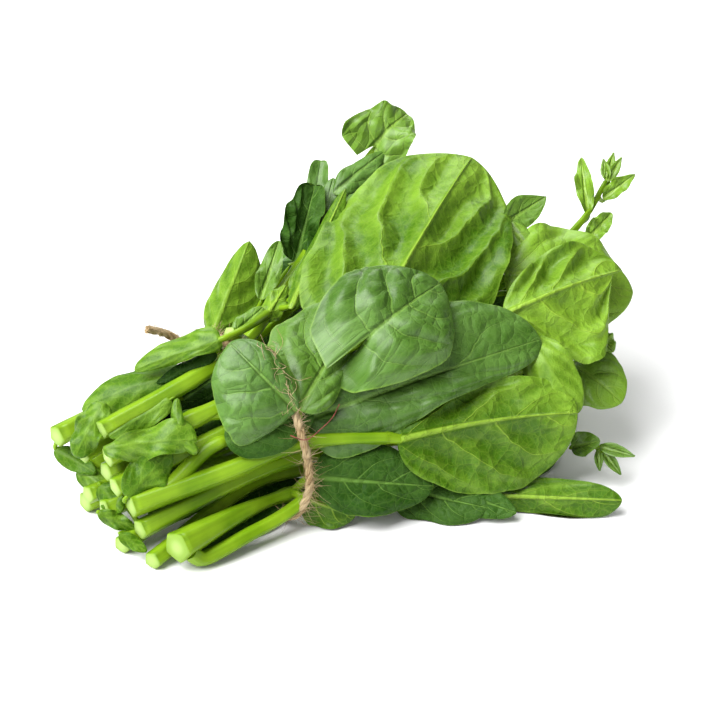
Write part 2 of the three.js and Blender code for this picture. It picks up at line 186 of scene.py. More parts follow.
def bake(tree, values, mesh=None):  # runs a tree on a throwaway object and keeps the plain mesh
    holder = addObject("holder", mesh or bpy.data.meshes.new("empty"))
    modifier = holder.modifiers.new("shape", "NODES")
    modifier.node_group = tree
    for item in tree.interface.items_tree:
        if item.in_out == "INPUT" and item.name in values:
            modifier[item.identifier] = values[item.name]
    graph = bpy.context.evaluated_depsgraph_get()
    result = bpy.data.meshes.new_from_object(holder.evaluated_get(graph), depsgraph=graph)
    bpy.data.objects.remove(holder)
    return result


def weld(name, meshes):  # several baked meshes become one piece at the origin
    holders = [addObject(name, mesh) for mesh in meshes]
    with bpy.context.temp_override(active_object=holders[0], object=holders[0],
                                   selected_objects=holders, selected_editable_objects=holders):
        bpy.ops.object.join()
    holders[0].data.name = name
    return holders[0]


def attribute(tree, name, output="Fac"):
    node = tree.nodes.new("ShaderNodeAttribute")
    node.attribute_name = name
    return Wire(tree, node.outputs[output])


def blendColour(share, first, second):
    node = share.tree.nodes.new("ShaderNodeMix")
    node.data_type = "RGBA"
    plug(share, node.inputs[0])
    for socket, value in ((node.inputs[6], first), (node.inputs[7], second)):
        plug(value if isinstance(value, Wire) else (*value, 1.0), socket)
    return Wire(share.tree, node.outputs[2])


def blendValue(share, first, second):
    node = share.tree.nodes.new("ShaderNodeMix")
    for slot, value in ((0, share), (2, first), (3, second)):
        plug(value, node.inputs[slot])
    return Wire(share.tree, node.outputs[0])


def newMaterial(name, **sockets):
    material = bpy.data.materials.new(name)
    material.use_nodes = True
    tree = material.node_tree
    shader = tree.nodes["Principled BSDF"]
    for key, value in sockets.items():
        shader.inputs[key.replace("_", " ")].default_value = value
    return material, tree, shader


def bump(shader, height, strength, distance):
    normal = step(height.tree, "ShaderNodeBump", Strength=strength, Distance=distance, Height=height)
    plug(normal, shader.inputs["Normal"])


def mottleGroup():  # soft patches at one scale, as a mask
    tree = bpy.data.node_groups.new("mottle", "ShaderNodeTree")
    addSocket(tree, "Vector", "Vector")
    for label, value in (("Scale", 100.0), ("Low", 0.35), ("High", 0.65)):
        addSocket(tree, label, "Float", value)
    addSocket(tree, "Mask", "Float", way="OUTPUT")
    source = tree.nodes.new("NodeGroupInput")
    vector, scale, low, high = [Wire(tree, socket) for socket in source.outputs if socket.name]
    patches = noise(vector, scale, 3.0)
    plug(smooth(patches, low, high), tree.nodes.new("NodeGroupOutput").inputs[0])
    return tree


mottle = mottleGroup()


def mottled(vector, scale, low=0.35, high=0.65):
    return step(vector.tree, "ShaderNodeGroup", {"node_tree": mottle},
                Vector=vector, Scale=scale, Low=low, High=high)


leafFinish = {
    # painted shade: the near-black green that inner leaves with a tone below 0 are darkened towards
    "upperPaintedShade": (0.008, 0.034, 0.001),
    "upperDark": (0.022, 0.074, 0.006),
    "upperLight": (0.082, 0.180, 0.032),
    "upperYoung": (0.185, 0.345, 0.022),
    "upperVein": (0.120, 0.240, 0.040),
    "underDeep": (0.044, 0.118, 0.002),
    "underPale": (0.194, 0.350, 0.026),
    "underVein": (0.300, 0.470, 0.045),
    "rim": (0.180, 0.330, 0.030),
    "upperGloss": 0.5, "underGloss": 0.3,
    "upperRough": 0.42, "underRough": 0.5,
    "sideVein": (0.0002, 0.0007), "midVein": (0.0004, 0.0016),  # core and edge, metres
    "relief": 0.0009,  # depth of the veins, metres
    "patch": 38.0, "cells": 150.0, "net": 430.0,  # colour patches, cells and fine veins, per metre
}


def edges(vector, scale, width):  # 0 on the cell walls, 1 inside
    gap = step(vector.tree, "ShaderNodeTexVoronoi", {"feature": "DISTANCE_TO_EDGE"},
               Vector=vector, Scale=scale)
    return smooth(gap, 0.0, width)


def leafMaterial():
    f = leafFinish
    material, tree, shader = newMaterial("leafSkin", Subsurface_Weight=0.08, Subsurface_Scale=0.001,
                                         Specular_IOR_Level=0.06, Coat_Roughness=0.34)
    shader.inputs["Subsurface Radius"].default_value = (0.6, 1.0, 0.15)
    where = attribute(tree, "leafPlace", "Vector")
    share, tone, along = parts(attribute(tree, "leafLook", "Vector"))
    phase, spacing, pucker = parts(attribute(tree, "leafVeins", "Vector"))
    upper = attribute(tree, "upperSide")

    # midrib, side veins and two nets of finer veins
    gap = abs(calc("FRACT", phase + 0.5) - 0.5) * spacing * 2.0
    fade = (1.0 - smooth(share, 0.7, 0.95)) * smooth(along, 0.0, 0.04)
    taper = 1.1 - share * 0.8
    core, edge = f["sideVein"]
    sideVein = (1.0 - smooth(gap, taper * core, taper * edge)) * fade
    ribGap = abs(parts(where)[1])
    ribSize = 1.15 - along
    core, edge = f["midVein"]
    midVein = 1.0 - smooth(ribGap, ribSize * core, ribSize * edge)
    bend = noise(where, 120.0, 2.0) * 0.006
    loose = where + triple(bend, bend * -1.0, 0.0)
    cell = edges(loose, f["cells"], 0.30)
    thread = 1.0 - edges(loose, f["cells"], 0.045)
    mesh = 1.0 - edges(where, f["net"], 0.12)
    clear = calc("MINIMUM", pucker, 1.0)  # a leaf with little pucker shows little of its veins
    mainVeins = calc("MAXIMUM", sideVein * 0.8, midVein)
    vein = calc("MAXIMUM", mainVeins, thread * fade * clear * 0.25) * clear

    patches = mottled(where, f["patch"])
    specks = mottled(where, f["patch"] * 7.0, 0.3, 0.7)
    shade = (patches - 0.5) * 0.45 + (specks - 0.5) * 0.22
    upperTone = blendColour(patches * 0.7 + specks * 0.3, f["upperDark"], f["upperLight"])
    upperTone = blendColour(tone, upperTone, f["upperYoung"])
    upperTone = blendColour(tone * -1.0, upperTone, f["upperPaintedShade"])  # painted shade: inner leaves, with a tone below 0, are darkened towards a near-black green
    veinTone = blendColour(tone, f["upperVein"], f["underVein"])
    upperTone = blendColour(calc("MAXIMUM", vein * 0.75, mesh * 0.12), upperTone, veinTone)
    # painted shade: on the underside each panel between side veins is darker in its middle, away from the
    # veins, standing in for the shade of the pleats
    paintedPleatShade = smooth(gap / spacing, 0.1, 1.0)
    underShare = calc("MAXIMUM", tone + shade + (0.5 - paintedPleatShade) * 0.25, 0.0)
    underTone = blendColour(underShare, f["underDeep"], f["underPale"])
    underTone = blendColour(calc("MAXIMUM", vein * 0.6, mesh * 0.10), underTone, f["underVein"])
    colour = blendColour(upper, underTone, upperTone)
    colour = blendColour(smooth(share, 0.965, 1.0) * 0.5, colour, f["rim"])
    plug(colour, shader.inputs["Base Color"])
    rough = blendValue(upper, f["underRough"], f["upperRough"])
    plug(rough + (specks - 0.5) * 0.12, shader.inputs["Roughness"])
    outer = smooth(tone, -0.1, 0.09)  # the shaded inner leaves are dull
    gloss = blendValue(upper, f["underGloss"], f["upperGloss"])
    plug(gloss * outer * (0.7 + specks * 0.6), shader.inputs["Coat Weight"])
    turned = upper * 2.0 - 1.0  # veins sink into the upper side and stand up on the underside
    grain = noise(where, 1500.0, 2.0)
    sunk = (sideVein * 0.6 + midVein) * clear + thread * pucker * 0.2 + mesh * 0.12
    relief = (cell * pucker * 0.75 - sunk) * turned + grain * 0.22
    bump(shader, relief, 0.7, f["relief"])
    return material


stemFinish = {
    "shade": (0.042, 0.116, 0.001),
    "bright": (0.150, 0.285, 0.004),
    "pale": (0.280, 0.440, 0.020),
    "cut": (0.205, 0.335, 0.045),
    "pith": (0.320, 0.450, 0.120),
    "streaks": 260.0, "patches": 60.0,  # per metre
    "pithRadius": (0.0005, 0.0045),  # core and edge, metres
}


def stemMaterial():
    f = stemFinish
    material, tree, shader = newMaterial("stemSkin", Subsurface_Weight=0.12, Subsurface_Scale=0.002,
                                         Specular_IOR_Level=0.1, Coat_Weight=0.16, Coat_Roughness=0.22)
    shader.inputs["Subsurface Radius"].default_value = (0.7, 1.0, 0.2)
    around = attribute(tree, "stemRound", "Vector")
    run = attribute(tree, "stemRun")
    cut = attribute(tree, "stemCut")
    x, y = parts(around)[:2]
    streaks = mottled(triple(x, y, run * 0.05), f["streaks"], 0.25, 0.75)
    patches = mottled(triple(x, y, run), f["patches"], 0.3, 0.8)
    threads = mottled(triple(x, y, run * 0.02), f["streaks"] * 4.0, 0.3, 0.7)
    skin = blendColour(streaks * 0.75 + threads * 0.25, f["shade"], f["bright"])
    skin = blendColour(patches * 0.55, skin, f["pale"])
    centre = 1.0 - smooth(calc("LENGTH", around), *f["pithRadius"])
    face = blendColour(centre, f["cut"], f["pith"])
    plug(blendColour(cut, skin, face), shader.inputs["Base Color"])
    plug(blendValue(cut, 0.38, 0.5) + (patches - 0.5) * 0.08, shader.inputs["Roughness"])
    grain = noise(triple(x, y, run * 0.1), 900.0, 2.0)
    bump(shader, grain, 0.2, 0.0003)
    return material


leafSkin = leafMaterial()
stemSkin = stemMaterial()
print("leaf and stem materials made")

leafForm = {  # mm and degrees; what a leaf in the table doesn't say is taken from here
    "bow": 0, "sway": 0, "fold": 0, "cup": -20, "wave": 2, "waves": 1.5, "twist": 0, "roll": 0,
    "left": (1, 1, 1), "right": (1, 1, 1), "lobe": (0, 0), "skew": 0.8, "full": 0.56,
    "veins": 3.4, "lean": 0.42, "pucker": 1, "under": 0, "tone": 0, "tipTone": 0, "fine": 1,
}
leafGrid = {"rows": 84, "columns": 57}
bladeForm = {  # mm, of a large leaf
    "thickness": 0.8, "groove": 0.5, "rib": 1.3, "quilt": 1.5, "crumple": 1.6,
    "narrowest": 0.4, "midVein": (0.3, 2.1), "puffRise": 8.0,
}


def leaf(at, base, tip, width, face, **shape):
    return {"at": at, "base": base, "tip": tip, "width": width, "face": face, **leafForm, **shape}


def leafInputs(spec, seed):  # a leaf of the table as the inputs of its tree
    size = min(1.0, 0.35 + spec["width"] / 60)  # small leaves are flatter, with a smaller grid
    grid = size * spec["fine"]
    inputs = {
        "Base": tuple(place(spec["base"])), "Tip": tuple(place(spec["tip"])),
        "Lobe": tuple(v * mm for v in (*spec["lobe"], 0.0)),
        "Tip tone": float(spec["tipTone"]), "Seed": seed * 3.7,
        "Rows": int(leafGrid["rows"] * grid), "Columns": 2 * int(leafGrid["columns"] * grid / 2) + 1,
    }
    for key in ("rib", "quilt", "crumple"):
        inputs[key.capitalize()] = spec.get(key, bladeForm[key] * size) * mm
    for key in ("width", "bow", "sway", "wave", "roll"):
        inputs[key.capitalize()] = spec[key] * mm
    for key in ("fold", "cup", "twist"):
        inputs[key.capitalize()] = math.radians(spec[key])
    for key in ("waves", "skew", "full", "veins", "lean", "pucker", "under", "tone"):
        inputs[key.capitalize()] = float(spec[key])
    for key in ("face", "left", "right"):
        inputs[key.capitalize()] = tuple(float(v) for v in spec[key])
    return inputs


def threePoint(shares, along):  # a curve through three shares, at 0.2, 0.5 and 0.8 of the length
    near, mid, far = parts(shares)
    a, b, c = along - 0.2, along - 0.5, along - 0.8
    return near * (b * c * (1 / 0.18)) - mid * (a * c * (1 / 0.09)) + far * (a * b * (1 / 0.18))


def leafTree(material):
    sizes = {key.capitalize(): bladeForm[key] * mm for key in ("thickness", "groove")}
    sample = leaf(0, (0, 0, 0), (60, 0, 0), 40, (0, 0, 1))
    tree, inp = geometryTree("leafBlade", {**leafInputs(sample, 0), **sizes})
    x, y = parts(step(tree, "GeometryNodeInputPosition"))[:2]
    along = 0.5 - calc("COSINE", (x + 0.5) * math.pi) * 0.5
    across = y * 2.0
    share = abs(across)
    sign = calc("SIGN", across)

    # the midrib, bowed towards the shown face and swayed sideways
    base, tip = inp["Base"], inp["Tip"]
    face = calc("NORMALIZE", inp["Face"])
    run = tip - base
    length = calc("LENGTH", run)
    lean = calc("NORMALIZE", calc("CROSS_PRODUCT", run, face))
    bend = (base + tip) * 0.5 + face * (inp["Bow"] * 2.0) + lean * (inp["Sway"] * 2.0)
    rest = 1.0 - along
    rib = base * (rest * rest) + bend * (rest * along * 2.0) + tip * (along * along)
    tangent = calc("NORMALIZE", (bend - base) * rest + (tip - bend) * along)
    flatSide = calc("NORMALIZE", calc("CROSS_PRODUCT", tangent, face))
    flatNormal = calc("CROSS_PRODUCT", flatSide, tangent)
    turn = inp["Twist"] * (along - 0.5)
    side = flatSide * calc("COSINE", turn) + flatNormal * calc("SINE", turn)
    normal = flatNormal * calc("COSINE", turn) - flatSide * calc("SINE", turn)

    # the egg-shaped outline with a slightly uneven margin
    arch = calc("MAXIMUM", calc("SINE", along ** inp["Skew"] * math.pi), 0.0)
    uneven = noise(triple(along * 5.0, sign * 3.0, 0.0), 1.0, 2.0, inp["Seed"]) - 0.5
    onRight = calc("GREATER_THAN", across, 0.0)
    left, right = (threePoint(inp[label], along) for label in ("Left", "Right"))
    breadth = left + (right - left) * onRight
    half = inp["Width"] * 0.5 * arch ** inp["Full"] * breadth * (1.0 + uneven * 0.22)
    lobeLeft, lobeRight = parts(inp["Lobe"])[:2]
    lobe = lobeLeft + (lobeRight - lobeLeft) * onRight
    neck = calc("MINIMUM", lobe * 80.0, 1.0) * (1.0 - smooth(along, 0.0, 0.1))
    neck = neck * (1.0 - onRight * 0.2)
    half = calc("MAXIMUM", half * (1.0 - neck), bladeForm["narrowest"] * mm)

    # the curl across, the waved margin and a soft crumple
    angle = inp["Fold"] + inp["Cup"] * share
    sinFold = calc("SINE", inp["Fold"])
    cosFold = calc("COSINE", inp["Fold"])
    sinAngle = calc("SINE", angle)
    cosAngle = calc("COSINE", angle)
    reach = (sinAngle - sinFold) / inp["Cup"]
    lift = (cosFold - cosAngle) / inp["Cup"]
    ripple = inp["Wave"] * share ** 1.5 * arch * calc("SINE", along * inp["Waves"] * (2 * math.pi) + sign)
    flat = triple(along * length, across * half, 0.0)
    broad = noise(flat, 26.0, 1.0, inp["Seed"]) - 0.5
    small = noise(flat, 80.0, 1.5, inp["Seed"]) - 0.5
    dents = (broad * 3.2 + small * 1.7) * inp["Crumple"] * (share * 0.6 + 0.4) * arch
    sweep = lobe * share ** 1.5 * smooth(along, 0.0, 0.02) * (1.0 - smooth(along, 0.0, 0.5))
    crease = lobe * (onRight * 0.44 - 0.14) * share * smooth(along, 0.0, 0.01)
    crease = crease * (1.0 - smooth(along, 0.01, 0.14))
    roll = inp["Roll"] * smooth(share, 0.55, 1.0) * (1.0 - onRight) * arch
    lift = lift * half + ripple + dents - crease - roll
    point = rib - tangent * sweep + side * (sign * reach * half) + normal * lift
    out = normal * cosAngle - side * (sign * sinAngle)
    up = out * (1.0 - inp["Under"] * 2.0)

    # side veins leave the midrib and arch forward; the blade puffs up between them
    wander = (noise(flat, 60.0, 2.0, inp["Seed"] + 7.0) - 0.5) * 0.6
    arc = inp["Lean"] * (share * 0.6 + share * share * 0.6)
    phase = (along - arc) * inp["Veins"] + sign * 0.2 + wander
    between = abs(calc("FRACT", phase + 0.5) - 0.5) * 2.0
    ends = smooth(along, 0.0, 0.04) * smooth(rest, 0.0, 0.04)
    inner = (1.0 - smooth(share, 0.7, 1.0)) * arch
    ribGap = share * half
    ribSize = 1.0 - along * 0.75
    core, edge = (ribSize * (width * mm) for width in bladeForm["midVein"])
    midVein = (1.0 - smooth(ribGap, core, edge)) * ends
    crest = calc("SQRT", between * between + 0.012)  # a vein's crest is a little rounded
    rise = smooth(ribGap, 0.0, bladeForm["puffRise"] * mm)
    puff = crest * (2.0 - crest) * rise * inner * inp["Quilt"]
    margin = (1.0 - share ** 9.0) * ends
    skin = inp["Thickness"] * margin * 0.5
    ridge = inp["Rib"] * midVein * (1.0 - along * 0.7)
    groove = inp["Groove"] * calc("MINIMUM", inp["Pucker"], 1.0)
    top = point + up * (puff + skin - groove * midVein * ribSize)
    bottom = point + up * (puff - skin - ridge)

    grid = step(tree, "GeometryNodeMeshGrid", Size_X=1.0, Size_Y=1.0,
                Vertices_X=inp["Rows"], Vertices_Y=inp["Columns"])
    grid = store(grid, "leafPlace", flat + triple(0.0, 0.0, inp["Seed"]))
    grid = store(grid, "leafLook", triple(share, inp["Tone"] + inp["Tip tone"] * along * along, along))
    grid = store(grid, "leafVeins", triple(phase, length / inp["Veins"] * 0.5, inp["Pucker"]))
    layers = []
    for spot, isTop in ((top, 1.0), (bottom, 0.0)):
        layer = store(grid, "upperSide", isTop, "FACE")
        layers.append(step(tree, "GeometryNodeSetPosition", Geometry=layer, Position=spot))
    # a layer is turned over where its grid would face into the blade
    shownUnder = calc("GREATER_THAN", inp["Under"], 0.5)
    shownUpper = calc("LESS_THAN", inp["Under"], 0.5)
    layers[0] = step(tree, "GeometryNodeFlipFaces", Mesh=layers[0], Selection=shownUpper)
    layers[1] = step(tree, "GeometryNodeFlipFaces", Mesh=layers[1], Selection=shownUnder)
    blade = step(tree, "GeometryNodeMergeByDistance", Geometry=gather(*layers), Distance=0.00001)
    blade = step(tree, "GeometryNodeSetShadeSmooth", Geometry=blade, Shade_Smooth=True)
    sharp = calc("GREATER_THAN", step(tree, "GeometryNodeInputMeshEdgeAngle"), 1.2)
    blade = step(tree, "GeometryNodeSetShadeSmooth", {"domain": "EDGE"}, Geometry=blade, Selection=sharp,
                 Shade_Smooth=False)
    close(blade, material)
    return tree


stemForm = {
    "sides": 30, "ridges": 5.0, "ridge": 0.15,
    "steps": 48, "petioleRadius": 2.0, "petioleSteps": 14,
    "petioleSides": 12, "petioleRidge": 0.03, "branchSteps": 24,
    "knuckle": 0.13, "knuckleLength": 3.5, "cutLength": 2.5,
}


def stalkTree(material):
    f = stemForm
    sizes = {"Sides": f["sides"], "Ridges": f["ridges"], "Ridge": f["ridge"]}
    tree, inp = geometryTree("stalk", sizes, True)
    line = step(tree, "GeometryNodeMeshToCurve", Mesh=inp["Geometry"])
    girth = recall(tree, "girth")
    rim = step(tree, "GeometryNodeCurvePrimitiveCircle", Resolution=inp["Sides"], Radius=1.0)
    spot = step(tree, "GeometryNodeInputPosition")
    x, y = parts(spot)[:2]
    turn = calc("ARCTAN2", y, x)
    furrow = abs(calc("SINE", turn * inp["Ridges"] * 0.5)) * inp["Ridge"]
    rim = step(tree, "GeometryNodeSetPosition", Geometry=rim, Position=spot * (1.0 - furrow))
    rim = store(rim, "stemTurn", spot)
    stalk = step(tree, "GeometryNodeCurveToMesh", Curve=line, Profile_Curve=rim, Scale=girth, Fill_Caps=True)
    stalk = store(stalk, "stemRound", recall(tree, "stemTurn", "FLOAT_VECTOR") * recall(tree, "girth"))
    stalk = step(tree, "GeometryNodeSetShadeSmooth", Geometry=stalk, Shade_Smooth=True)
    close(stalk, material)
    return tree


def unit(vector):
    return vector / np.linalg.norm(vector)


def runOf(points):  # the way along a line to each of its points
    return np.concatenate([[0], np.cumsum(np.linalg.norm(np.diff(points, axis=0), axis=1))])


spanSteps = 24  # between two points of a path


def smoothLine(points, count, closed=False):  # centripetal spline through the points, evenly spaced
    points = np.asarray(points, float)
    if closed:
        padded = np.vstack([points[-1], points, points[:2]])
    else:
        padded = np.vstack([2 * points[0] - points[1], points, 2 * points[-1] - points[-2]])
    share = np.linspace(0, 1, spanSteps, endpoint=False)[:, None]
    dense = []
    for a, b, c, d in zip(padded, padded[1:], padded[2:], padded[3:]):
        first, second, third = [math.sqrt(np.linalg.norm(q - p)) for p, q in ((a, b), (b, c), (c, d))]
        leave = ((b - a) / first - (c - a) / (first + second) + (c - b) / second) * second
        arrive = ((c - b) / second - (d - b) / (second + third) + (d - c) / third) * second
        cubic = 2 * b - 2 * c + leave + arrive
        square = 3 * c - 3 * b - 2 * leave - arrive
        dense.append(cubic * share ** 3 + square * share ** 2 + leave * share + b)
    dense = np.vstack([*dense, points[:1] if closed else points[-1:]])
    reach = runOf(dense)
    wanted = np.linspace(0, reach[-1], count, endpoint=not closed)
    return np.stack([np.interp(wanted, reach, dense[:, axis]) for axis in range(3)], axis=1)


def lineMesh(points, closed=False, **values):  # a line of points with values, for a tree to make a curve of
    mesh = bpy.data.meshes.new("line")
    edges = [(i, i + 1) for i in range(len(points) - 1)]
    if closed:
        edges.append((len(points) - 1, 0))
    mesh.from_pydata([tuple(p) for p in points], edges, [])
    for name, numbers in values.items():
        layer = mesh.attributes.new(name, "FLOAT", "POINT")
        layer.data.foreach_set("value", np.asarray(numbers, np.float32))
    return mesh


# share of the girth, mm in from the cut, share of the cut's colour
cutRounding = ((0.02, 0.0, 1), (0.45, 0.04, 1), (0.8, 0.08, 1), (0.93, 0.2, 0.75),
               (0.98, 0.5, 0.25), (1.0, 1.0, 0))
cutLean = np.array((0.18, 0.25, -0.18))  # the cuts lean to the front


def stalkLine(points, radii, isCut, knuckles=()):
    points = np.asarray(points, float)
    reach = runOf(points)
    girth = np.interp(reach / reach[-1], np.linspace(0, 1, len(radii)), radii)
    for at in knuckles:  # the stem swells a little where a leaf springs
        away = (reach - at * reach[-1]) / stemForm["knuckleLength"]
        girth = girth * (1 + stemForm["knuckle"] * np.exp(-away ** 2))
    cut = np.zeros(len(points))
    start, end = points[0], points[-1]
    ahead, behind = unit(points[1] - start), unit(points[-2] - end)
    headShares, headSteps, headCut = zip(*cutRounding)
    if isCut:
        keep = reach > headSteps[-1] + stemForm["cutLength"]
        points = np.vstack([start + np.outer(headSteps, unit(ahead + cutLean)), points[keep]])
        girth = np.concatenate([np.array(headShares) * radii[0], girth[keep]])
        cut = np.concatenate([headCut, cut[keep]])
        reach = np.concatenate([headSteps, reach[keep]])
    points = np.vstack([points[:-1], end + 0.6 * radii[-1] * behind, end])  # the tip is rounded
    girth = np.concatenate([girth[:-1], [0.85 * radii[-1], 0.1 * radii[-1]]])
    cut = np.concatenate([cut[:-1], [0, 0]])
    reach = np.concatenate([reach[:-1], [reach[-1], reach[-1] + 1]])
    return lineMesh(place(points), girth=girth * mm, stemCut=cut, stemRun=reach * mm)


paintedShadeScrap = {"wave": 1.5, "tone": -1, "rib": 0.2, "pucker": 0.1, "stalk": 0}  # painted shade: near-black scraps of leaf put between the stems where there is only shade
thinBit = {"under": 1, "rib": 0.2, "pucker": 0.2}  # a plain scrap of leaf
tipBud = {"cup": 45, "wave": 0, "full": 0.9, "tone": 0.7}
front, upFront = (-0.5, -0.6, 0.6), (-0.4, -0.6, 0.7)  # two ways that many leaves face


def shoot(path, radius, *leaves, **branch):
    return {"path": path, "radius": radius, "leaves": leaves, **branch}


# a shoot has its stem's path from cut end to tip, its radius along the way and its leaves; two have a branch
# a leaf has its place on the stem, the ends of its midrib, its width and the way it faces
# places are in mm from the middle of the tie
# a tone below 0 is painted shade: it darkens a leaf lying deep in the bunch towards a near-black green
shoots = {}
shoots["shoot_01"] = shoot(
    [(-59, -13, 21), (-20, -26, 30), (4, -33, 36), (38, -50, 35)], (4.8, 2.6),
    # painted light: this leaf is paler towards its tip, where it turns to the light
    leaf(1, (38, -51, 34), (106, -79, 36), 50, (-0.45, -0.72, 0.53), sway=-2, fold=-8, cup=-14, waves=2,
         full=0.4, left=(0.67, 0.73, 0.82), right=(1.03, 1.21, 1.28), quilt=2.8, crumple=3.4, under=1,
         rib=2.4, tipTone=0.4, stalk=2.05, fine=1.5),
    leaf(0.06, (-22, -23, 42), (12, -33, 46), 22, (-0.4, -0.75, 0.53), bow=2, cup=-16, wave=0, pucker=0.5,
         tone=-0.45, stalk=3.3))
shoots["shoot_02"] = shoot(
    [(-60, 1, 36), (0, -14, 53), (26, -18, 61), (54, -15, 69)], (4.2, 2.4),
    leaf(0.7, (36, -34, 72), (75, -30, 82), 54, (-0.38, -0.62, 0.68), bow=5, cup=-26, lobe=(20, 23),
         full=0.48, left=(0.97, 0.95, 0.9), right=(0.8, 0.98, 1), quilt=2.8, crumple=2.6, pucker=1.3,
         tone=0.1, fine=1.5),
    leaf(0.62, (4, -35, 52), (52, -9, 72), 36, (-0.4, -0.62, 0.67), bow=2, cup=-18, full=0.5,
         left=(1.2, 1.4, 1.35), right=(0.65, 0.5, 0.45), quilt=2.2, crumple=2.4, pucker=1.2, tone=0.2,
         fine=1.5),
    leaf(0.3, (3, -35, 52), (-10, -9, 74), 40, (-0.48, -0.7, 0.53), bow=4, cup=-14, wave=1.5,
         left=(1.49, 1.14, 1.25), right=(0.35, 0.5, 0.62), crumple=2.8, pucker=1.2, tone=0.06, fine=1.5),
    leaf(1, (57, -17, 73), (137, 29, 97), 74, (-0.42, -0.58, 0.7), bow=7, cup=-18, wave=6, waves=1.7,
         roll=9, lobe=(24, 18), full=0.48, left=(1.12, 1.08, 1.15), veins=2.4, lean=0.85, quilt=6,
         crumple=3, pucker=0.8, under=1, rib=2.2, tone=0.16, tipTone=0.3, fine=1.8))
shoots["shoot_03"] = shoot(
    [(-61, -5, 26), (0, -18, 43), (50, -27, 50), (96, -37, 56)], (4.2, 2),
    leaf(0.5, (10, -30, 43), (106, -55, 58), 44, (-0.36, -0.68, 0.64), bow=5, wave=2.5, waves=2, full=0.42,
         left=(1, 1.3, 1.45), right=(1, 0.6, 0.6), quilt=2.2, crumple=3.4, tone=0.08, fine=1.4),
    leaf(1, (102, -37, 62), (158, -44, 68), 54, (-0.35, -0.58, 0.74), bow=6, cup=-14, wave=3, waves=2,
         skew=1.1, full=0.5, left=(0.62, 0.66, 0.8), right=(1, 1.2, 0.5), veins=3, quilt=4.5, crumple=4.5,
         pucker=0.9, under=1, rib=1.8, tone=0.6, fine=1.5),
    leaf(0.9, (104, -50, 57), (108, -77, 34), 20, (-0.5, -0.6, 0.62), bow=4, cup=-24, full=0.45, tone=0.5,
         **thinBit))
shoots["shoot_04"] = shoot(
    [(-58, 8, 44), (-16, 1, 58), (4, 5, 61), (46, 34, 64), (80, 54, 74)], (3.8, 1.8),
    leaf(0.55, (-9, -2, 72), (-37, 17, 59), 17, (-0.55, -0.5, 0.67), bow=2, cup=-45, skew=0.6, full=0.4,
         left=(0.5, 0.45, 0.5), crumple=2, pucker=0.15, under=1, rib=0.3, tone=0.2),
    leaf(0.5, (-10, 0, 65), (-31, 11, 54), 6.5, front, **paintedShadeScrap),
    leaf(0.25, (-32, -1, 53), (-57, 4, 43), 11, front, cup=-24, full=0.4, pucker=0.15, under=1, rib=0.2,
         tone=0.2, stalk=0.6),
    leaf(0.2, (-52, 7, 40), (-24, 2, 47), 13, front, **paintedShadeScrap),
    leaf(0.06, (-62, 0, 42), (-32, -19, 44), 13, (-0.45, -0.55, 0.7), bow=2, cup=-30, wave=5, waves=1.7,
         full=0.35, left=(0.5, 1.1, 1.8), crumple=3.5, tone=0.3, stalk=0, **thinBit),
    leaf(0.6, (31, 10, 67), (84, 46, 91), 12, (-0.45, -0.5, 0.74), cup=-60, wave=1.5, under=1, rib=0.5,
         tone=0.12),
    leaf(1, (109, 60, 98), (127, 61, 108), 28, upFront, bow=4, cup=24, wave=3, waves=2, lobe=(8, 10),
         full=0.5, left=(1.25, 0.9, 0.87), right=(1, 0.9, 0.8), crumple=3.5, pucker=2, tone=0.45),
    leaf(0.9, (73, 48, 76), (87, 59, 90), 11, (-0.5, -0.5, 0.7), cup=-40, tone=0.05),
    leaf(0.97, (83, 53, 86), (111, 55, 97), 13, (-0.45, -0.55, 0.7), bow=2, cup=-40, full=0.7, tone=0.1),
    leaf(0.08, (-52, 15, 51), (-68, 11, 34), 13, (-0.6, -0.6, 0.5), bow=2, cup=-40, wave=3, waves=2.5,
         full=0.35, crumple=3, tone=0.05, stalk=0, **thinBit),
    leaf(0.1, (-34, -22, 40), (-32, -6, 56), 7.5, (-0.5, -0.7, 0.5), bow=1, sway=-3, cup=-80, waves=1.6,
         full=0.4, crumple=2, tone=0.2, stalk=0, **thinBit),
    branch=[(-3, 2, 71), (3, 3, 66), (10, 8, 60)],
    branchRadius=(2.8, 1.4), branchIsCut=True)
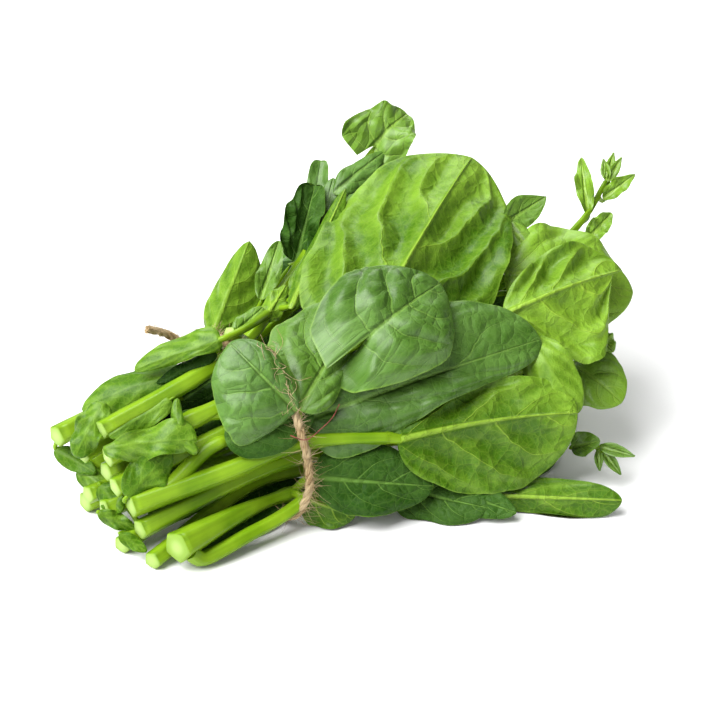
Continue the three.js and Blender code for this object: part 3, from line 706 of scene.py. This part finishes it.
shoots["shoot_05"] = shoot(
    [(-66, 30, 33), (0, 29, 45), (32, 36, 54), (60, 50, 62)], (4.6, 2),
    leaf(1, (58, 45, 65), (79, 61, 88), 24, (-0.5, -0.5, 0.7), cup=85, wave=3.5, waves=2.5, full=0.3,
         quilt=4, crumple=3, tone=-0.5),
    leaf(0.5, (6, 28, 57), (39, 51, 78), 24, (-0.55, -0.55, 0.63), fold=-20, cup=-40,
         right=(1.1, 1.3, 1.35), crumple=4, pucker=0.4, under=1, rib=0.2, tone=0.45),
    leaf(0.7, (29, 28, 64), (49, 44, 78), 10, (-0.5, -0.6, 0.62), cup=30, tone=0.35),
    leaf(0.35, (-20, 8, 56), (-54, 30, 41), 23, (-0.4, -0.45, 0.8), bow=4, cup=-60, wave=2.5, waves=1.4,
         full=0.4, crumple=1.8, pucker=0.1, under=1, rib=0.2, tipTone=0.25),
    leaf(0.8, (40, 52, 50), (92, 86, 42), 48, (-0.1, 0.8, 0.6), bow=5, wave=3, waves=2),
    leaf(0.75, (37, 18, 67), (58, 31, 78), 9, (-0.5, -0.6, 0.62), cup=-40, under=1, tone=0.35),
    leaf(0.66, (21, 15, 62), (38, 23, 70), 10, (-0.5, -0.6, 0.62), cup=-30, wave=2.5, waves=2, under=1,
         tone=0.35),
    leaf(0.55, (8, 15, 61), (24, 19, 66), 10, (-0.5, -0.6, 0.62), cup=-30, wave=1.5, tone=0.35),
    leaf(0.02, (-65, 34, 25), (-57, 16, 20), 9, (-0.4, -0.7, 0.6), cup=-30, wave=1.5, **thinBit),
    leaf(1, (77, 59, 76), (89, 71, 93), 11, (-0.5, -0.5, 0.7), cup=50, wave=1.5, full=0.22, pucker=0.4,
         rib=0.2, tone=0.1),
    leaf(0.6, (15, 32, 48), (61, 47, 63), 34, (-0.5, -0.6, 0.62), wave=3, waves=2, pucker=0.4, tone=-0.7))
shoots["shoot_06"] = shoot(
    [(-59, 5, 27), (0, -2, 36), (60, -4, 46), (115, -8, 54), (156, -6, 64), (176, -2, 72),
     (191, 4, 81)], (4, 1.2),
    leaf(0.08, (-42, 1, 33), (-10, -7, 42), 18, (-0.4, -0.8, 0.45), bow=2, cup=-30, wave=3, waves=2.5,
         tone=-0.3),
    leaf(0.66, (118, -17, 68), (166, -43, 55), 52, (-0.3, -0.5, 0.81), bow=4, cup=-14, wave=3, waves=2,
         pucker=0.7, tone=0.85),
    leaf(0.62, (128, -3, 81), (153, -1, 86), 14, upFront, cup=30, wave=0, twist=30, full=0.85, tone=0.3),
    leaf(0.64, (130, -4, 82), (132, -18, 73), 11, upFront, cup=-30, wave=0, full=0.8, tone=0.6),
    leaf(0.66, (140, -50, 48), (142, -59, 42), 9, upFront, cup=20, waves=3, tone=0.7),
    leaf(0.9, (176, -2, 72), (186, 15, 89), 9, (-0.6, -0.5, 0.6), bow=2, cup=55, waves=2.5, twist=35,
         full=0.7, tone=0.8),
    leaf(0.96, (186, 0, 75), (199, -5, 85), 9, (-0.5, -0.5, 0.7), cup=60, wave=1.5, waves=2.5, full=0.8,
         tone=0.8),
    leaf(1, (191, 4, 81), (199, 9, 90), 5, front, **tipBud),
    leaf(1, (191, 3, 81), (194, 10, 88), 5, (-0.7, -0.5, 0.5), **tipBud),
    leaf(1, (191, 3, 81), (200, 5, 89), 5, (-0.3, -0.7, 0.6), **tipBud),
    leaf(0.84, (168, -11, 65), (183, -9, 73), 10, upFront, cup=50, waves=3, full=0.6, tone=0.7))
shoots["shoot_07"] = shoot(
    [(-62, 2.5, 12.5), (0, -11, 23), (55, -22, 31), (96, -42, 38)], (4.2, 2),
    leaf(0.05, (-60, -12, 25), (-40, -13, 39), 16, (-0.4, -0.8, 0.45), bow=1, wave=2.5, waves=2,
         pucker=0.15, under=1, rib=0.2, stalk=1),
    leaf(1, (128, -49, 37), (134, -74, 28), 27, (-0.3, -0.62, 0.72), bow=3, cup=-10, crumple=3, pucker=0.6,
         tone=0.5, tipTone=0.3),
    leaf(0.8, (84, -40, 33), (132, -44, 30), 40, (-0.2, -0.6, 0.77), wave=3, waves=2))
shoots["shoot_08"] = shoot(
    [(-58, -17, 12), (0, -25, 24), (50, -38, 24), (88, -50, 20), (112, -70, 17),
     (118, -80, 16)], (4.2, 0.9),
    leaf(0.55, (60, -61, 6), (108, -105, 8), 32, (-0.42, -0.66, 0.62), fold=-20, cup=-16, wave=1.5,
         left=(0.6, 0.62, 0.75), under=1, rib=0.8, tone=0.06),
    leaf(0.95, (110, -72, 15), (117, -81, 20), 11, upFront, cup=40, wave=1.5, tone=0.3),
    leaf(1, (118, -79, 16), (126, -92, 15), 6, upFront, cup=40, wave=0, full=0.9, tone=0.35),
    leaf(0.98, (117, -80, 15), (114, -85, 9), 4, front, cup=40, wave=0, full=0.9, tone=0.35),
    leaf(0.99, (119, -81, 14), (120, -91, 8), 5, front, cup=40, wave=0, full=0.8, tone=0.35))
shoots["shoot_09"] = shoot(
    [(-52, -34, 11), (-20, -30, 12), (0, -27, 10), (38, -40, 14)], (6.5, 2.6, 2.4),
    leaf(0.6, (7, -38, 22), (49, -61, 14), 32, (-0.4, -0.75, 0.53), bow=3, cup=-16, waves=2,
         right=(0.85, 0.85, 0.9), tone=-0.5),
    leaf(0.6, (4, -36, 13), (20, -49, 5), 20, (-0.4, -0.8, 0.45), under=1, tone=0.05),
    leaf(0.1, (-39, -30, 2), (4, -29, 7), 12, upFront, **paintedShadeScrap),
    branch=[(-47, -36, 8), (-43, -37, 4), (-35, -38, 5), (-23, -38, 7), (-9, -38, 9), (1, -38, 12),
            (7, -38, 15)],
    branchRadius=(3.4, 2.6), branchIsCut=False)
shoots["shoot_10"] = shoot(
    [(-59, -27, 3.6), (0, -13, 10), (36, -26, 11), (60, -38, 10)], (3.8, 2),
    leaf(0.8, (40, -46, 9), (64, -76, 6), 26, (-0.3, -0.6, 0.74), tone=-0.6),
    leaf(1, (62, -38, 11), (118, -56, 5), 44, (-0.1, -0.3, 0.95), wave=3, waves=2),
    leaf(0.4, (-17, -18, 5), (19, -16, 4), 18, (-0.3, -0.5, 0.8), **paintedShadeScrap),
    leaf(0.9, (56, -61, 10), (72, -84, 5), 14, (-0.4, -0.66, 0.62), wave=1.5, tone=-0.3))
shoots["shoot_11"] = shoot(
    [(-64, 13, 32), (0, 16, 46), (46, 28, 56), (86, 36, 64)], (3.2, 1.8),
    leaf(1, (86, 36, 66), (150, 44, 70), 50, (0.1, 0.2, 0.97), cup=-24, wave=2.5),
    leaf(0.8, (64, 40, 66), (112, 78, 72), 42, (-0.1, 0.4, 0.9), cup=-24),
    leaf(0.1, (-47, 14, 31), (1, 10, 50), 20, front, wave=3, waves=2.5, tone=-0.5))
shoots["shoot_12"] = shoot(
    [(-64, 11.5, 15), (0, 5, 21), (60, 10, 28), (104, 10, 36)], (3.8, 1.8),
    leaf(1, (105, 10, 38), (164, 8, 44), 46, (0.2, 0, 0.97)),
    leaf(0.7, (82, 22, 36), (140, 40, 40), 44, (0.1, 0.3, 0.94)),
    leaf(0.1, (-53, 11, 16), (1, 1, 31), 18, front, wave=3, waves=2.5, tone=-0.5),
    leaf(0.9, (98, -7, 41), (141, -27, 41), 46, (-0.45, -0.65, 0.6), pucker=0.5, tone=-0.6))
shoots["shoot_13"] = shoot(
    [(-63, -11, 3.4), (0, 0, 10), (60, 2, 11), (92, 2, 11)], (3.8, 2),
    leaf(1, (92, 2, 12), (150, -12, 8), 46, (0.1, -0.1, 0.99), cup=-18),
    leaf(0.7, (78, -12, 12), (122, -30, 14), 34, (0, -0.2, 0.98)),
    leaf(0.1, (-49, -9, 9), (-4, -11, 19), 14, front, waves=2, tone=-0.5),
    leaf(0.05, (-66, 0, 14), (-55, -10, 7), 7, (-0.6, -0.5, 0.6), cup=-30, waves=2, tone=0.05, stalk=1,
         **thinBit),
    leaf(0.04, (-64, -12, 10), (-58, -22, 5), 6, front, cup=-30, wave=1.5, tone=-0.05, stalk=0.6,
         **thinBit),
    leaf(0.05, (-60, 8, 20), (-58, -4, 13), 11, (-0.6, -0.6, 0.5), cup=-30, waves=2, stalk=1, **thinBit))
shoots["shoot_14"] = shoot(
    [(-60, 22, 4.2), (0, 14, 10), (50, 24, 11), (84, 30, 10)], (4.4, 2),
    leaf(1, (84, 30, 11), (144, 40, 6), 48, (0, 0.1, 0.99)),
    leaf(0.6, (50, 36, 11), (92, 62, 5), 36, (0, 0.3, 0.95)))
shoots["shoot_15"] = shoot(
    [(-58, 23, 19), (0, 22, 30), (50, 40, 36), (88, 52, 38)], (4.2, 2),
    leaf(1, (88, 52, 39), (146, 64, 36), 48, (0.1, 0.6, 0.8)),
    leaf(0.7, (58, 56, 38), (110, 88, 24), 46, (0, 0.8, 0.6)),
    leaf(0.02, (-61, 24, 19), (-56, 7, 16), 10, front, cup=-30, tone=0.15, **thinBit))
shoots["shoot_16"] = shoot(
    [(-48, 31, 6), (0, 25.5, 17), (38, 44, 17), (70, 58, 14)], (4.4, 2),
    leaf(1, (70, 58, 15), (128, 78, 8), 44, (0, 0.5, 0.87)),
    leaf(0.7, (36, 56, 18), (84, 92, 8), 42, (0, 0.7, 0.7)))

bladeNodes = leafTree(leafSkin)
stalkNodes = stalkTree(stemSkin)


def midrib(spec, along):
    base, tip, face = (np.asarray(spec[key], float) for key in ("base", "tip", "face"))
    face = unit(face)
    side = unit(np.cross(tip - base, face))
    bend = (base + tip) / 2 + 2 * spec["bow"] * face + 2 * spec["sway"] * side
    left = 1 - along
    point = left * left * base + 2 * left * along * bend + along * along * tip
    heading = left * (bend - base) + along * (tip - bend)
    return point, unit(heading)


def petioleMesh(line, spec):
    f = stemForm
    spot = min(spec["at"], 0.97) * (len(line) - 1)
    before = int(spot)
    after = line[min(before + 1, len(line) - 1)]
    start = line[before] + (after - line[before]) * (spot - before)
    heading = unit(after - line[max(before - 1, 0)])
    radius = spec.get("stalk", min(f["petioleRadius"], spec["width"] / 14 + 0.4))
    end, ribHeading = midrib(spec, 0.12 if any(spec["lobe"]) else 0.05)
    if not spec["under"]:  # the stalk joins an upper side from behind
        end = end - np.asarray(spec["face"]) * (1.8 * radius + 1)
    reach = 0.4 * np.linalg.norm(end - start)
    share = np.linspace(0, 1, f["petioleSteps"])[:, None]
    left = 1 - share
    points = (left ** 3 * start + 3 * left ** 2 * share * (start + reach * heading)
              + 3 * left * share ** 2 * (end - reach * ribHeading) + share ** 3 * end)
    line = stalkLine(points, (radius * 1.25, radius * 0.8), False)
    return bake(stalkNodes, {"Sides": f["petioleSides"], "Ridge": f["petioleRidge"]}, line)


pieces = []
seed = 0
for name, stem in shoots.items():
    line = smoothLine(stem["path"], stemForm["steps"])
    knuckles = [spec["at"] for spec in stem["leaves"] if 0.15 < spec["at"] < 0.95]
    meshes = [bake(stalkNodes, {}, stalkLine(line, stem["radius"], True, knuckles))]
    if "branch" in stem:
        fork = smoothLine(stem["branch"], stemForm["branchSteps"])
        fork = stalkLine(fork, stem["branchRadius"], stem["branchIsCut"])
        meshes.append(bake(stalkNodes, {}, fork))
    for spec in stem["leaves"]:
        seed += 1
        if spec.get("stalk") != 0:  # a bit of leaf tucked between the stems has none
            meshes.append(petioleMesh(line, spec))
        meshes.append(bake(bladeNodes, leafInputs(spec, seed)))
    piece = weld("leafy_" + name, meshes)
    pieces.append((piece, name, "greens"))
print("leafy shoots made:", len(pieces), "with", seed, "leaves")

twineFinish = {
    "dark": (0.220, 0.135, 0.055), "light": (0.470, 0.340, 0.175), "pale": (0.640, 0.520, 0.330),
    "streaks": 2600.0, "patches": 160.0,  # per metre
}


def twineMaterial():
    f = twineFinish
    material, tree, shader = newMaterial("jute", Roughness=0.9, Specular_IOR_Level=0.2)
    x, y = parts(attribute(tree, "stemRound", "Vector"))[:2]
    run = attribute(tree, "stemRun")
    fibre = triple(x, y, run * 0.12)
    streaks = mottled(fibre, f["streaks"])
    patches = mottled(triple(x, y, run), f["patches"])
    colour = blendColour(streaks, f["dark"], f["light"])
    colour = blendColour(patches * 0.5, colour, f["pale"])
    plug(colour, shader.inputs["Base Color"])
    bump(shader, streaks, 0.8, 0.0004)
    return material


jute = twineMaterial()
twineForm = {
    "radius": 1.75, "strand": 1.1, "pitch": 13.0, "strands": 3, "strandSides": 8,
    "hairs": 3800.0, "hairLength": 8.5, "hairRadius": (0.04, 0.09), "hairBend": 2.8, "seed": 4,
    "loop": [(3.5, -40.5, 34), (2.5, -38.5, 43), (3, -31.5, 51.5), (-2, -19, 60), (-4, -6, 65.5),
             (-3, 9, 65.5), (-1, 26, 57), (1, 37, 49), (2, 41, 40), (2, 39, 26), (1, 32, 12), (0, 20, 3),
             (-1, 4, 1.8), (-2, -14, 1.8), (-2, -29, 3), (0, -38, 8), (3, -42, 20)],
    "tails": [[(1, 39, 46), (-4, 41, 51), (-9, 42, 55), (-16, 42.5, 58.5)],
              [(1, 39, 45), (6, 43, 43), (9, 46, 37), (8, 47, 30)]],
    "knot": (1, 39, 45), "knotSize": (3.4, 1.3, 3.4), "knotPoints": 14,
    "loopSteps": 420, "knotSteps": 120, "tailSteps": 60,
}


def twineTree(material):
    f = twineForm
    tree, inp = geometryTree("twistedTwine", {
        "Turns": 10.0, "Offset": (f["radius"] - f["strand"]) * mm, "Strand": f["strand"] * mm,
        "Hair density": f["hairs"], "Hair length": f["hairLength"] * mm, "Seed": f["seed"]}, True)
    line = step(tree, "GeometryNodeMeshToCurve", Mesh=inp["Geometry"])
    normal = step(tree, "GeometryNodeInputNormal")
    tangent = step(tree, "GeometryNodeInputTangent")
    side = calc("CROSS_PRODUCT", tangent, normal)
    parameter = tree.nodes.new("GeometryNodeSplineParameter")
    factor = Wire(tree, parameter.outputs["Factor"])
    line = store(line, "stemRun", Wire(tree, parameter.outputs["Length"]))
    rim = step(tree, "GeometryNodeCurvePrimitiveCircle", Resolution=f["strandSides"], Radius=1.0)
    rim = store(rim, "stemTurn", step(tree, "GeometryNodeInputPosition"))
    strands = []
    for strand in range(f["strands"]):
        turn = factor * inp["Turns"] * (2 * math.pi) + 2 * math.pi * strand / f["strands"]
        swing = normal * calc("COSINE", turn) + side * calc("SINE", turn)
        coil = step(tree, "GeometryNodeSetPosition", Geometry=line, Offset=swing * inp["Offset"])
        strands.append(step(tree, "GeometryNodeCurveToMesh", Curve=coil, Profile_Curve=rim,
                            Scale=inp["Strand"], Fill_Caps=True))
    cord = gather(*strands)
    cord = store(cord, "stemRound", recall(tree, "stemTurn", "FLOAT_VECTOR") * inp["Strand"])
    # loose fibres stand off the strands
    scatter = tree.nodes.new("GeometryNodeDistributePointsOnFaces")
    plug(cord, scatter.inputs["Mesh"])
    plug(inp["Hair density"] * 100.0, scatter.inputs["Density"])
    plug(inp["Seed"], scatter.inputs["Seed"])
    thin, thick = (radius * mm for radius in f["hairRadius"])
    hair = step(tree, "GeometryNodeMeshCone", Vertices=3, Side_Segments=5, Radius_Top=thin,
                Radius_Bottom=thick, Depth=1.0)
    hx, hy, hz = parts(step(tree, "GeometryNodeInputPosition"))
    bent = triple(hx + hz * hz * (f["hairBend"] * mm), hy, hz)
    hair = step(tree, "GeometryNodeSetPosition", Geometry=hair, Position=bent)
    spin = tree.nodes.new("FunctionNodeRandomValue")
    spin.data_type = "FLOAT_VECTOR"
    for slot, limit in enumerate((-1.0, 1.0)):
        spin.inputs[slot].default_value = (limit, limit, limit)
    plug(inp["Seed"], spin.inputs["Seed"])
    heading = Wire(tree, scatter.outputs["Normal"]) * 0.55 + Wire(tree, spin.outputs[0])
    turn = step(tree, "FunctionNodeAlignRotationToVector", {"axis": "Z"}, Vector=heading)
    stretch = tree.nodes.new("FunctionNodeRandomValue")
    stretch.data_type = "FLOAT"
    plug(inp["Seed"] + 3.0, stretch.inputs["Seed"])
    size = (Wire(tree, stretch.outputs[1]) ** 3.0 + 0.15) * inp["Hair length"]
    fuzz = step(tree, "GeometryNodeInstanceOnPoints", Points=Wire(tree, scatter.outputs["Points"]),
                Instance=hair, Rotation=turn, Scale=triple(1.0, 1.0, size))
    whole = gather(cord, fuzz)
    whole = step(tree, "GeometryNodeSetShadeSmooth", Geometry=whole, Shade_Smooth=True)
    close(whole, material)
    return tree


def twineMesh(points, closed, count):
    line = smoothLine(points, count, closed)
    length = runOf(line)[-1]
    print("twine run of", round(float(length), 1), "mm")
    turns = float(round(length / twineForm["pitch"]))
    return bake(twineNodes, {"Turns": turns}, lineMesh(place(line), closed))


twineNodes = twineTree(jute)
knotTurn = np.linspace(0, 2 * math.pi, twineForm["knotPoints"], endpoint=False)
knotLine = np.stack([np.sin(2 * knotTurn), np.cos(3 * knotTurn), np.cos(knotTurn)], axis=1)
knotLine = np.array(twineForm["knot"]) + knotLine * twineForm["knotSize"]
redFibre = {"dark": (0.10, 0.012, 0.010), "light": (0.24, 0.034, 0.026),
            "radius": 0.2, "sides": 6, "steps": 30,
            "path": [(-1, -36, 43), (2, -42, 43), (8, -44, 47), (13, -44, 50), (17, -43, 54)]}


def fibreMaterial():
    material, tree, shader = newMaterial("redFibre", Roughness=0.7)
    run = attribute(tree, "stemRun")
    streaks = mottled(triple(run, 0.0, 0.0), 400.0)
    plug(blendColour(streaks, redFibre["dark"], redFibre["light"]), shader.inputs["Base Color"])
    return material


def fibreMesh(nodes, points, form, taper):  # one round fibre
    line = stalkLine(smoothLine(points, form["steps"]), (form["radius"], form["radius"] * taper), False)
    return bake(nodes, {"Sides": form["sides"], "Ridge": 0.0}, line)


fibre = fibreMesh(stalkTree(fibreMaterial()), redFibre["path"], redFibre, 0.7)
strays = {"count": 30, "length": 6.5, "radius": 0.11, "sides": 4, "steps": 10, "starts": 60, "seed": 7,
          "along": [(-3, -18, 76), (0, -22, 74), (1, -29, 67), (1, -37, 55)]}


def strayFibres():  # loose fibres of the twine caught between the two leaves above it
    chance = np.random.default_rng(strays["seed"])
    line = smoothLine(strays["along"], strays["starts"])
    nodes = stalkTree(jute)
    meshes = []
    for start in line[chance.integers(0, strays["starts"], strays["count"])]:
        reach = strays["length"] * chance.uniform(0.4, 1.2)
        heading = chance.normal(size=3) * 0.6 + chance.choice((-1, 1)) * np.array((0.1, -0.45, -0.8))
        bend = chance.normal(size=3) * 0.3 * reach
        points = [start, start + heading * 0.5 * reach + bend, start + heading * reach]
        meshes.append(fibreMesh(nodes, points, strays, 0.6))
    return meshes


ring = twineMesh(twineForm["loop"], True, twineForm["loopSteps"])
knot = twineMesh(knotLine, True, twineForm["knotSteps"])
tails = [twineMesh(tail, False, twineForm["tailSteps"]) for tail in twineForm["tails"]]
twine = weld("jute_twine", [ring, knot, *tails, fibre, *strayFibres()])
pieces.append((twine, "twine", "twine"))
print("twine made")

studio = {
    "target": (-0.015, -0.003, 0.045), "azimuth": -36.0, "elevation": 30.0, "distance": 0.880,
    "frameWidth": 0.288, "world": 0.19, "floor": (0.92, 0.92, 0.92),
    "lights": {  # place, size in metres, watts
        "key": ((-0.76, 0.14, 1.08), 1.25, 48.0),
        "fill": ((-0.5, -1.1, 0.6), 0.9, 2.5),
        "back": ((0.55, 0.8, 0.9), 0.8, 8.0),
    },
}


def addLight(name, spot, size, watts):
    lamp = bpy.data.lights.new(name, "AREA")
    lamp.size = size
    lamp.energy = watts
    holder = addObject(name, lamp)
    holder.location = spot
    holder.rotation_euler = (Vector(studio["target"]) - Vector(spot)).to_track_quat("-Z", "Y").to_euler()


def addFloor():
    material, tree, shader = newMaterial("paleFloor", Roughness=0.8)
    coordinates = tree.nodes.new("ShaderNodeTexCoord")
    patches = mottled(Wire(tree, coordinates.outputs["Object"]), 3.0)
    pale = studio["floor"]
    plug(blendColour(patches, pale, tuple(0.99 * v for v in pale)), shader.inputs["Base Color"])
    mesh = bpy.data.meshes.new("floor")
    mesh.from_pydata([(-3, -3, 0), (3, -3, 0), (3, 3, 0), (-3, 3, 0)], [], [(0, 1, 2, 3)])
    mesh.materials.append(material)
    return addObject("floor", mesh)


def addCamera():
    lens = bpy.data.cameras.new("camera")
    lens.sensor_width = 36.0
    lens.lens = lens.sensor_width * studio["distance"] / studio["frameWidth"]
    camera = addObject("camera", lens)
    azimuth, elevation = math.radians(studio["azimuth"]), math.radians(studio["elevation"])
    level = math.cos(elevation)
    away = Vector((math.sin(azimuth) * level, -math.cos(azimuth) * level, math.sin(elevation)))
    target = Vector(studio["target"])
    camera.location = target + away * studio["distance"]
    camera.rotation_euler = (-away).to_track_quat("-Z", "Y").to_euler()
    bpy.context.scene.camera = camera


for name, (spot, size, watts) in studio["lights"].items():
    addLight(name, spot, size, watts)
floor = addFloor()
addCamera()
world = bpy.data.worlds.new("softRoom")
world.use_nodes = True
world.node_tree.nodes["Background"].inputs["Color"].default_value = (1.0, 1.0, 1.0, 1.0)
world.node_tree.nodes["Background"].inputs["Strength"].default_value = studio["world"]
bpy.context.scene.world = world
bpy.context.scene.view_settings.view_transform = "Standard"
print("studio set")

for piece, node, slot in pieces:
    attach(piece, "root")
    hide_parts(node)
bpy.context.view_layer.update()
